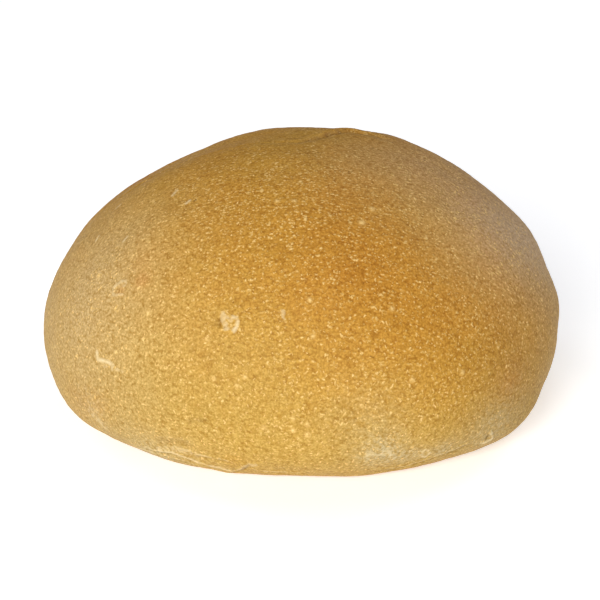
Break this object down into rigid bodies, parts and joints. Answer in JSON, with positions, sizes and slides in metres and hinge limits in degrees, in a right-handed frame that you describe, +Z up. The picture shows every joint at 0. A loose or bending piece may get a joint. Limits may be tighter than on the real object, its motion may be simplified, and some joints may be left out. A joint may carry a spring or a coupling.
{
  "type": "bread roll",
  "caption": "Soft oval bread roll with a smooth domed golden crust and a flat baked foot.",
  "frame": {"origin": "middle of the flat foot that the roll rests on", "axes": "+X along the roll's length to its right end, -Y towards its front, +Z up"},
  "size_m": [0.1104, 0.0923, 0.0572],
  "materials": {
    "crust": "soft golden brown bread crust, finely flecked, with a slight sheen, browner on the crown and paler low down"
  },
  "bodies": {
    "root": {"roll": "crust"}
  },
  "joints": []
}
